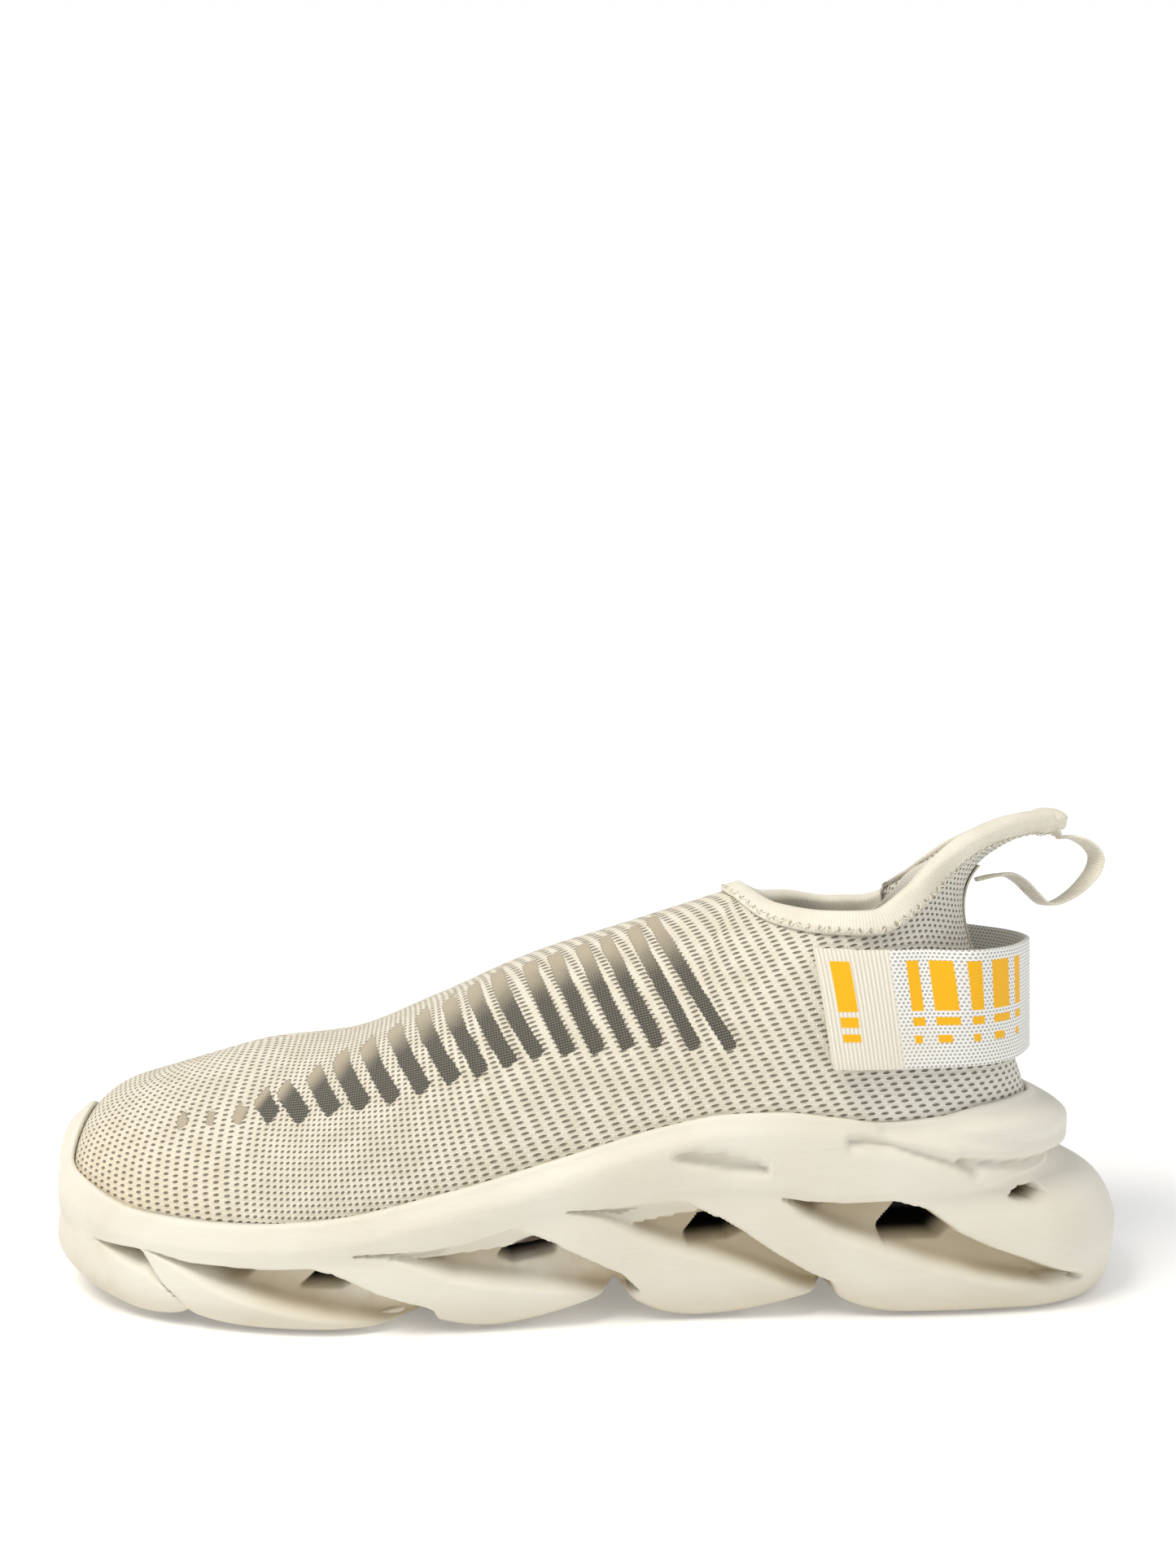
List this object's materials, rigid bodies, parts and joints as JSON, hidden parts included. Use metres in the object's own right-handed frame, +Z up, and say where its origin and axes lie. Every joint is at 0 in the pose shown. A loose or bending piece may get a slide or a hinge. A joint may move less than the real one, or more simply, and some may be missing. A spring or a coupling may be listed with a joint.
{
  "type": "running shoe",
  "caption": "Slip-on knit running shoe with a cut-open foam sole, rubber pads, bound collar, elastic heel strap, pull loop and removable insole.",
  "frame": {"origin": "on the ground, under the middle of the shoe's overall length and width", "axes": "+X towards the heel, -X towards the toe, -Y towards the outer side of this left shoe, +Z up"},
  "size_m": [0.3, 0.1014, 0.1298],
  "materials": {
    "foam": "matt moulded foam",
    "rubber": "matt",
    "board": "felted",
    "padding": "soft",
    "lining": "woven",
    "knit": "knitted",
    "mesh": "open mesh",
    "ribbed": "ribbed tape",
    "woven": "elastic weave"
  },
  "bodies": {
    "shoe": {"midsole": "foam", "outsole_toe": "rubber", "outsole_ball": "rubber", "outsole_forefoot": "rubber", "outsole_arch": "rubber", "outsole_heel": "rubber", "strobel_board": "board", "knit_upper": "knit", "toe_puff": "padding", "heel_counter": "padding", "ankle_foam_lateral": "padding", "ankle_foam_medial": "padding", "heel_lining": "lining", "instep_liner": "mesh", "collar_binding": "ribbed", "back_seam_tape": "ribbed"},
    "insole": {"insole_foam": "padding", "insole_cover": "lining"},
    "strap": {"heel_strap": "woven"},
    "loop": {"pull_loop": "ribbed"}
  },
  "joints": [
    {"name": "insole_lift", "type": "hinge", "parent": "shoe", "child": "insole", "pos_m": [-0.137, 0.002, 0.0245], "axis": [0, -1, 0], "range_deg": [0, 3]},
    {"name": "strap_stretch", "type": "slide", "parent": "shoe", "child": "strap", "axis": [1, 0, 0], "range_m": [0, 0.005], "stiffness_N_per_m": 500},
    {"name": "pull_loop_swing", "type": "hinge", "parent": "shoe", "child": "loop", "pos_m": [0.1368, 0, 0.1216], "axis": [0.8875, 0, 0.4608], "range_deg": [-30, 30], "stiffness_Nm_per_rad": 0.005}
  ]
}
